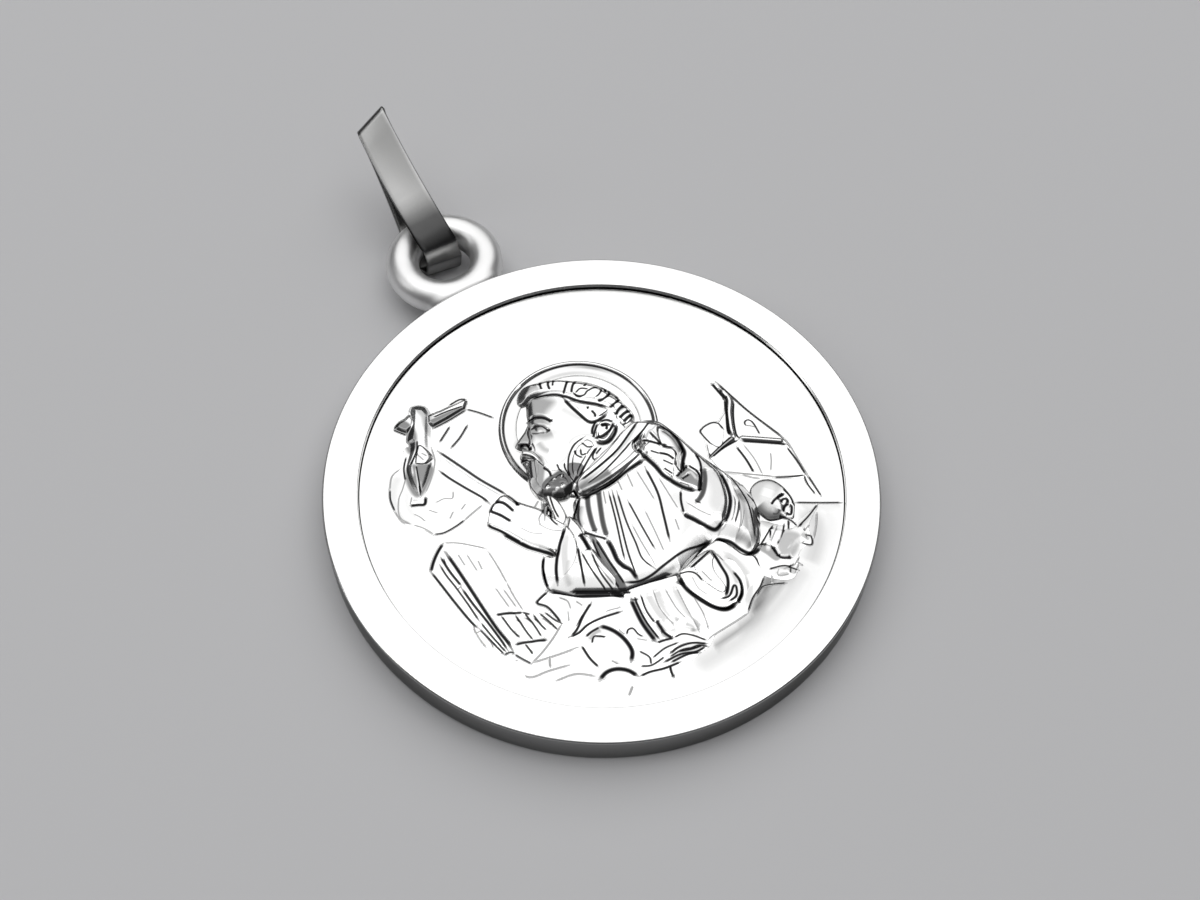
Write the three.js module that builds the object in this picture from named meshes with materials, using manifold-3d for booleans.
// Religious medal pendant. A round struck medal lies face up, with a plain raised rim round a sunk
// field, and a relief scene on the field: a kneeling, haloed figure before a crucifix, a closed book,
// a hut, a skull and rocks. A plain ring is soldered to its upper edge, and a flat strap bail is
// looped through that ring. Millimetres, +Z out of the face, +Y towards the ring, and the origin at
// the centre of the plain reverse.

import * as THREE from "three";
import { mergeVertices } from "three/addons/utils/BufferGeometryUtils.js";
import Module from "manifold-3d";

// Driving dimensions of the medal
const MEDAL_DIAMETER = 20;
const MEDAL_THICKNESS = 1.35;
const RIM_WIDTH = 1.27;
const FIELD_DEPTH = 0.26;
const EDGE_BEVEL = 0.1;
const FIELD_DRAFT = 0.08;

// Driving dimensions of the relief, above the field
const RELIEF_HEIGHT = 0.5;
const HALO_RADIUS = 2.85;
const HALO_BAND = 0.34;

// Driving dimensions of the soldered ring
const RING_DIAMETER = 3.3;
const RING_WIRE = 1.3;
const RING_OVERLAP = 0.35;
const SOLDER_WIDTH = 2.1;
const SOLDER_HEIGHT = 0.7;

// Driving dimensions of the bail
const BAIL_WIDTH = 1.45;
const BAIL_TOP_WIDTH = 1.36;
const BAIL_THICKNESS = 0.18;
const BAIL_CLEARANCE = 0.15;
const BAIL_REACH = 4.85;
const BAIL_TOP_GAP = 0.3;
const BAIL_SLANT = 0.5;
const BAIL_TWIST = 16;
const BAIL_RAISE = 32;

// How finely round things are faceted
const DISC_SIDES = 96;
const RING_STEPS = 40;
const RING_SIDES = 16;
const HALO_STEPS = 48;
const HALO_SIDES = 6;
const BEND_STEPS = 12;
const LEG_STEPS = 6;
const BEVEL_STEPS = 2;
const CURVE_STEPS = 2;

// Places worked out from the dimensions
const RADIUS = MEDAL_DIAMETER / 2;
const FIELD_RADIUS = RADIUS - RIM_WIDTH;
const FIELD_TOP = MEDAL_THICKNESS - FIELD_DEPTH;
const WIRE_RADIUS = RING_WIRE / 2;
const RING_RADIUS = RING_DIAMETER / 2;
const RING_Y = RADIUS + RING_RADIUS + WIRE_RADIUS - RING_OVERLAP;
const RING_Z = MEDAL_THICKNESS / 2;

// The relief is drawn in hundredths of the field's radius, from the centre of the field.
const PERCENT = FIELD_RADIUS / 100;

// The head has a frame of its own: its centre, and the way up and the way it faces, as it leans back.
const HEAD = { x: 3, y: 27, lean: 57 };

const SILVER = { color: 0xdcdcda, metalness: 1, roughness: 0.22 };
const BAIL_SILVER = { color: 0xc9c9c7, metalness: 1, roughness: 0.26 };

// Each row is one raised form. "rise" is its height as a share of RELIEF_HEIGHT, "slope" the width of
// its sloping side in hundredths of the field's radius, and "outline" its points in the same unit.
const SOFT_FORMS = [
  {
    form: "ground",
    rise: 0.3,
    slope: 3,
    outline: [[-50, -54], [-34, -55], [-18, -60], [20, -60], [45, -60], [59, -64], [52, -76], [37, -86],
      [14, -92], [-12, -91], [-31, -85], [-45, -72]],
  },
  {
    form: "round stone",
    rise: 0.5,
    slope: 3,
    outline: [[-36, -57], [-29, -60], [-26, -68], [-31, -74], [-39, -72], [-43, -64]],
  },
  {
    form: "side rocks",
    rise: 0.42,
    slope: 3,
    outline: [[48, -50], [61, -54], [62, -63], [53, -74], [41, -78], [31, -76], [31, -68], [40, -59]],
  },
  {
    form: "skull",
    rise: 0.72,
    slope: 4,
    outline: [[46, -40], [49, -35], [55, -32], [61, -34], [64, -41], [63, -49], [57, -53], [50, -51]],
  },
  {
    form: "skirt",
    rise: 0.62,
    slope: 4,
    outline: [[-19, -46], [6, -50], [25, -44], [35, -57], [36, -70], [22, -82], [0, -82], [-19, -81],
      [-22, -70], [-20, -57]],
  },
  {
    form: "folded leg",
    rise: 0.78,
    slope: 3,
    outline: [[10, -49], [24, -46], [34, -55], [35, -67], [25, -73], [15, -68], [8, -58]],
  },
  {
    form: "foot",
    rise: 0.92,
    slope: 2.5,
    outline: [[7, -50], [14, -49], [19, -58], [20, -69], [17, -75], [12, -74], [7, -65], [5, -56]],
  },
  {
    form: "habit",
    rise: 0.8,
    slope: 5,
    outline: [[35, 14], [42, -9], [48, -28], [47, -45], [39, -57], [26, -46], [8, -47], [-18, -47],
      [-34, -39], [-42, -27], [-36, -16], [-25, -9], [-14, 1], [4, -2], [20, 4]],
  },
  {
    form: "sleeve",
    rise: 1,
    slope: 2.5,
    outline: [[34, 6], [42, -12], [44, -27], [38, -40], [26, -40], [22, -31], [29, -22], [31, -8]],
  },
  {
    form: "cape over the back",
    rise: 0.94,
    slope: 1.2,
    outline: [[42, -12], [47, -24], [50, -36], [47, -48], [38, -58], [33, -52], [40, -44], [43, -30]],
  },
  {
    form: "raised sleeve",
    rise: 0.9,
    slope: 3,
    outline: [[-20, -5], [-33, -15], [-42, -25], [-39, -37], [-30, -42], [-20, -36], [-16, -20]],
  },
  {
    form: "raised hand",
    rise: 0.7,
    slope: 2.5,
    outline: [[-29, 6], [-34, 3], [-42, 6], [-47, 6], [-48, 1], [-42, -8], [-36, -18], [-26, -13], [-25, -3]],
  },
  {
    form: "hand on the breast",
    rise: 0.98,
    slope: 2,
    outline: [[19, 6], [25, 6], [31, -2], [32, -14], [32, -24], [27, -23], [23, -13], [20, -4]],
  },
  {
    form: "hood",
    rise: 0.86,
    slope: 3,
    outline: [[27, 17], [35, 15], [34, 4], [21, 1], [8, -2], [-5, -4], [-12, 2], [-4, 8], [12, 9], [22, 12]],
  },
  {
    form: "bank of cloud",
    rise: 0.25,
    slope: 3,
    outline: [[-60, 55], [-71, 46], [-79, 33], [-80, 22], [-70, 13], [-60, 15], [-55, 26], [-53, 42]],
  },
  {
    form: "body on the cross",
    rise: 0.6,
    slope: 2,
    outline: [[-49, 76], [-45, 72], [-48, 62], [-51, 50], [-57, 40], [-66, 28], [-71, 30], [-66, 45],
      [-61, 60], [-55, 72]],
  },
];

// These have straight sides, so their outlines aren't rounded.
const BUILT_FORMS = [
  {
    form: "book block",
    rise: 0.4,
    slope: 1,
    outline: [[-69, 9], [-80, 1], [-77, -36], [-66, -55], [-50, -49], [-57, -34], [-56, -2]],
  },
  {
    form: "book cover",
    rise: 0.55,
    slope: 1,
    outline: [[-68, 7], [-69, -48], [-58, -36], [-57, -3]],
  },
  {
    form: "lower book",
    rise: 0.62,
    slope: 1,
    outline: [[-67, -31], [-69, -49], [-58, -52], [-49, -49], [-50, -39]],
  },
  {
    form: "shaft of the cross",
    rise: 0.3,
    slope: 1,
    outline: [[-51, 47], [-34, 10], [-42, 12], [-55, 38]],
  },
  {
    form: "arm of the cross",
    rise: 0.5,
    slope: 1,
    outline: [[-62, 69], [-48, 66], [-28, 66], [-28, 62], [-49, 61], [-62, 64]],
  },
  {
    form: "hut wall",
    rise: 0.28,
    slope: 1,
    outline: [[46, -13], [44, -3], [60, 5], [66, 14], [77, -22], [74, -42], [60, -36], [52, -28]],
  },
  {
    form: "hut roof edge",
    rise: 0.46,
    slope: 1,
    outline: [[65, 18], [69, 15], [80, -23], [77, -42], [73, -41], [75, -22], [66, 8]],
  },
  {
    form: "hut corner post",
    rise: 0.5,
    slope: 0.8,
    outline: [[65, 15], [67, 8], [61, -8], [70, -23], [67, -25], [58, -12], [46, -14], [45, -10], [57, -7]],
  },
];

// The head, in its own frame: the first number of a point is how far it lies towards the way that
// the head faces, and the second how far up. The profile is plain, in thirds from hairline to chin.
const HEAD_FORMS = [
  {
    form: "face and skull",
    rise: 0.85,
    slope: 3.5,
    outline: [[20.5, 16], [20.5, 4], [23.5, -8], [20, -12], [20.5, -18], [12, -25], [-8, -24], [-21, -12],
      [-23, 4], [-18, 18], [-4, 25], [12, 24]],
  },
  {
    form: "hair",
    rise: 1,
    slope: 3,
    outline: [[21.5, 19], [13, 26], [-5, 26.5], [-19, 20], [-25, 6], [-21, -10], [-12, -15], [-9, -4],
      [-13, 6], [-6, 13], [8, 15], [20, 13]],
  },
  {
    form: "beard",
    rise: 0.95,
    slope: 1.8,
    outline: [[20, -17], [20, -26], [14, -33], [5, -31], [-6, -26], [-10, -14], [-3, -15], [6, -19], [14, -17]],
  },
];

// Folds of cloth are narrow ridges. Each runs from "from" to "to" on top of a form, bowed sideways by
// "bow", and is "wide" across, all in hundredths of the field's radius.
const FOLDS = [
  { from: [-6, -6], to: [-14, -44], bow: 2, wide: 3, rise: 0.95 },
  { from: [2, -6], to: [-5, -44], bow: 2, wide: 3, rise: 0.95 },
  { from: [9, -6], to: [4, -44], bow: 2, wide: 3, rise: 0.95 },
  { from: [16, -6], to: [13, -43], bow: 2, wide: 3, rise: 0.95 },
  { from: [-16, -8], to: [-24, -42], bow: -3, wide: 4, rise: 1 },
  { from: [-28, -18], to: [-33, -36], bow: 1, wide: 2.5, rise: 1.05 },
  { from: [-17, -50], to: [-18, -79], bow: 1, wide: 3, rise: 0.8 },
  { from: [-9, -51], to: [-10, -79], bow: 1, wide: 3, rise: 0.8 },
  { from: [-1, -52], to: [-1, -79], bow: 1, wide: 3, rise: 0.8 },
  { from: [38, -16], to: [31, -36], bow: 4, wide: 2.5, rise: 1.12 },
  { from: [-34, -42], to: [4, -49], bow: -3, wide: 3, rise: 1 },
  { from: [4, -49], to: [25, -45], bow: -3, wide: 3, rise: 1 },
];

const wasm = await Module();
wasm.setup();

// A closed three.js geometry as a solid that can be joined and cut.
function solidOf(geometry) {
  geometry.deleteAttribute("normal");
  geometry.deleteAttribute("uv");
  const merged = mergeVertices(geometry, 1e-5);
  const corners = merged.index.array;
  const faces = [];
  for (let i = 0; i < corners.length; i += 3) {
    const [a, b, c] = [corners[i], corners[i + 1], corners[i + 2]];
    if (a !== b && b !== c && c !== a) faces.push(a, b, c);
  }
  const mesh = new wasm.Mesh({
    numProp: 3,
    vertProperties: Float32Array.from(merged.attributes.position.array),
    triVerts: Uint32Array.from(faces),
  });
  return new wasm.Manifold(mesh);
}

// A solid's faces as a three.js geometry with flat shading.
function geometryOf(solid) {
  const mesh = solid.getMesh();
  const geometry = new THREE.BufferGeometry();
  geometry.setAttribute("position", new THREE.BufferAttribute(mesh.vertProperties, 3));
  geometry.setIndex(new THREE.BufferAttribute(mesh.triVerts, 1));
  const flat = geometry.toNonIndexed();
  flat.computeVertexNormals();
  return flat;
}

// Turned about +Z: the profile's points are [radius, height].
function turned(profile, steps) {
  const points = profile.map(([r, z]) => new THREE.Vector2(r, z));
  const geometry = new THREE.LatheGeometry(points, steps);
  geometry.rotateX(Math.PI / 2);
  return geometry;
}

// A ring of round or flattened wire, lying flat about +Z.
function wireRing(radius, halfWidth, halfHeight, steps, sides) {
  const profile = [];
  for (let i = 0; i <= sides; i += 1) {
    const turn = ((i % sides) / sides) * 2 * Math.PI;
    profile.push([radius + halfWidth * Math.cos(turn), halfHeight * Math.sin(turn)]);
  }
  return turned(profile, steps);
}

// The struck disc: a flat reverse, bevelled edges, the rim's flat top and the sunk field.
function disc() {
  const profile = [
    [0, 0],
    [RADIUS - EDGE_BEVEL, 0],
    [RADIUS, EDGE_BEVEL],
    [RADIUS, MEDAL_THICKNESS - EDGE_BEVEL],
    [RADIUS - EDGE_BEVEL, MEDAL_THICKNESS],
    [FIELD_RADIUS, MEDAL_THICKNESS],
    [FIELD_RADIUS - FIELD_DRAFT, FIELD_TOP],
    [0, FIELD_TOP],
  ];
  return solidOf(turned(profile, DISC_SIDES));
}

// One raised form of the relief, bedded in the field, with its side sloping in towards the top.
function raised(points, rise, slope) {
  const height = rise * RELIEF_HEIGHT;
  const bed = FIELD_TOP / 2;
  const edge = Math.min(0.75 * height, bed);
  const geometry = new THREE.ExtrudeGeometry(new THREE.Shape(points), {
    depth: height + bed - 2 * edge,
    bevelThickness: edge,
    bevelSize: slope * PERCENT,
    bevelOffset: -slope * PERCENT,
    bevelSegments: BEVEL_STEPS,
  });
  geometry.translate(0, 0, FIELD_TOP - bed + edge);
  return solidOf(geometry);
}

function planePoints(outline) {
  return outline.map(([x, y]) => new THREE.Vector2(x * PERCENT, y * PERCENT));
}

// The same outline as a smooth closed curve through its points.
function rounded(points) {
  const path = new THREE.CatmullRomCurve3(points.map((p) => new THREE.Vector3(p.x, p.y, 0)), true);
  const steps = points.length * CURVE_STEPS;
  return path.getPoints(steps).slice(0, steps).map((p) => new THREE.Vector2(p.x, p.y));
}

function headPoints(outline) {
  const up = THREE.MathUtils.degToRad(HEAD.lean);
  return outline.map(([ahead, above]) => new THREE.Vector2(
    (HEAD.x - ahead * Math.sin(up) + above * Math.cos(up)) * PERCENT,
    (HEAD.y + ahead * Math.cos(up) + above * Math.sin(up)) * PERCENT,
  ));
}

// The spindle-shaped outline of a fold of cloth.
function foldPoints({ from, to, bow, wide }) {
  const start = new THREE.Vector2(...from);
  const end = new THREE.Vector2(...to);
  const across = end.clone().sub(start).normalize();
  across.set(-across.y, across.x);
  const at = (share, side) => start.clone().lerp(end, share)
    .addScaledVector(across, Math.sin(share * Math.PI) * (bow + side * wide * 0.2) + side * wide * 0.3);
  const there = [0, 0.3, 0.7, 1].map((share) => at(share, 1));
  const back = [1, 0.7, 0.3, 0].map((share) => at(share, -1));
  return [...there, ...back].map((p) => p.multiplyScalar(PERCENT));
}

function halo() {
  const height = 0.55 * RELIEF_HEIGHT;
  const ring = wireRing(HALO_RADIUS - HALO_BAND / 2, HALO_BAND / 2, height, HALO_STEPS, HALO_SIDES);
  ring.translate(HEAD.x * PERCENT, HEAD.y * PERCENT, FIELD_TOP);
  return solidOf(ring);
}

function reliefForms() {
  const forms = [halo()];
  for (const { outline, rise, slope } of SOFT_FORMS) {
    forms.push(raised(rounded(planePoints(outline)), rise, slope));
  }
  for (const { outline, rise, slope } of BUILT_FORMS) {
    forms.push(raised(planePoints(outline), rise, slope));
  }
  for (const { outline, rise, slope } of HEAD_FORMS) {
    forms.push(raised(rounded(headPoints(outline)), rise, slope));
  }
  for (const fold of FOLDS) {
    forms.push(raised(foldPoints(fold), fold.rise, fold.wide * 0.2));
  }
  return forms;
}

// The ring's round wire, and the solder that fills the corner between it and the medal's edge.
function solderedRing() {
  const ring = wireRing(RING_RADIUS, WIRE_RADIUS, WIRE_RADIUS, RING_STEPS, RING_SIDES);
  ring.translate(0, RING_Y, RING_Z);
  const top = RING_Y - RING_RADIUS;
  const foot = RADIUS - RING_OVERLAP;
  const half = SOLDER_WIDTH / 2;
  const fillet = new THREE.ExtrudeGeometry(new THREE.Shape([
    new THREE.Vector2(-half, foot),
    new THREE.Vector2(half, foot),
    new THREE.Vector2(0.6 * half, top),
    new THREE.Vector2(-0.6 * half, top),
  ]), { depth: SOLDER_HEIGHT, bevelEnabled: false });
  fillet.translate(0, 0, RING_Z - SOLDER_HEIGHT / 2);
  return solidOf(ring).add(solidOf(fillet));
}

function medal() {
  let body = disc();
  for (const form of reliefForms()) body = body.add(form);
  body = body.add(solderedRing());
  const mesh = new THREE.Mesh(geometryOf(body), new THREE.MeshStandardMaterial(SILVER));
  mesh.name = "medal";
  return mesh;
}

// The ring's wire curves away under the strap's edges, so over the strap's width it fills the space
// from "inner" to "outer" along the radius. The bail turns about the middle of that space.
const HOLE_RADIUS = RING_RADIUS - WIRE_RADIUS;
const inner = Math.sqrt(HOLE_RADIUS ** 2 - (BAIL_WIDTH / 2) ** 2);
const outer = RING_RADIUS + WIRE_RADIUS;
const SWING_Y = RING_Y + (inner + outer) / 2;
const LOWER_BEND = (outer - inner) / 2 + BAIL_CLEARANCE;
const UPPER_BEND = BAIL_TOP_GAP / 2;

// The closed outline of the strap's loop: a bend round the ring's wire at the origin, two legs, and
// the top bend at BAIL_REACH. "skin" is how far it lies outside the loop's opening.
function loopOutline(path, skin) {
  const converge = Math.asin((LOWER_BEND - UPPER_BEND) / BAIL_REACH);
  const leg = Math.PI / 2 - converge;
  const legPlace = (share, side) => {
    const bend = THREE.MathUtils.lerp(UPPER_BEND, LOWER_BEND, share) + skin;
    return [BAIL_REACH * (1 - share) + bend * Math.cos(leg), side * bend * Math.sin(leg)];
  };
  path.absarc(BAIL_REACH, 0, UPPER_BEND + skin, -leg, leg, false);
  for (let i = 1; i < LEG_STEPS; i += 1) path.lineTo(...legPlace(i / LEG_STEPS, 1));
  path.absarc(0, 0, LOWER_BEND + skin, leg, 2 * Math.PI - leg, false);
  for (let i = LEG_STEPS - 1; i > 0; i -= 1) path.lineTo(...legPlace(i / LEG_STEPS, -1));
  path.closePath();
  return path;
}

// The bail is one flat strap bent into a long loop and closed. It leans up from the ring's plane.
function bail() {
  const outline = loopOutline(new THREE.Shape(), BAIL_THICKNESS);
  outline.holes.push(loopOutline(new THREE.Path(), 0));
  const strap = new THREE.ExtrudeGeometry(outline, {
    depth: BAIL_WIDTH,
    bevelEnabled: false,
    curveSegments: BEND_STEPS,
  });
  strap.translate(0, 0, -BAIL_WIDTH / 2);
  // The strap narrows and twists towards the top bend, and one edge of that bend lies further out.
  const place = strap.attributes.position;
  for (let i = 0; i < place.count; i += 1) {
    const share = place.getX(i) / BAIL_REACH;
    const side = place.getZ(i) * THREE.MathUtils.lerp(1, BAIL_TOP_WIDTH / BAIL_WIDTH, share);
    const turn = THREE.MathUtils.degToRad(BAIL_TWIST * share);
    const across = place.getY(i);
    place.setX(i, place.getX(i) + BAIL_SLANT * share * side / BAIL_TOP_WIDTH);
    place.setZ(i, side * Math.cos(turn) - across * Math.sin(turn));
    place.setY(i, side * Math.sin(turn) + across * Math.cos(turn));
  }
  const along = new THREE.Vector3(0, 1, 0);
  const normal = new THREE.Vector3(0, 0, 1);
  const side = new THREE.Vector3(1, 0, 0);
  strap.applyMatrix4(new THREE.Matrix4().makeBasis(along, normal, side));
  const mesh = new THREE.Mesh(strap, new THREE.MeshStandardMaterial(BAIL_SILVER));
  mesh.name = "bail";
  mesh.position.set(0, SWING_Y, RING_Z);
  mesh.rotation.x = THREE.MathUtils.degToRad(BAIL_RAISE);
  return mesh;
}

const pendant = new THREE.Group();
pendant.add(medal(), bail());

export default pendant;
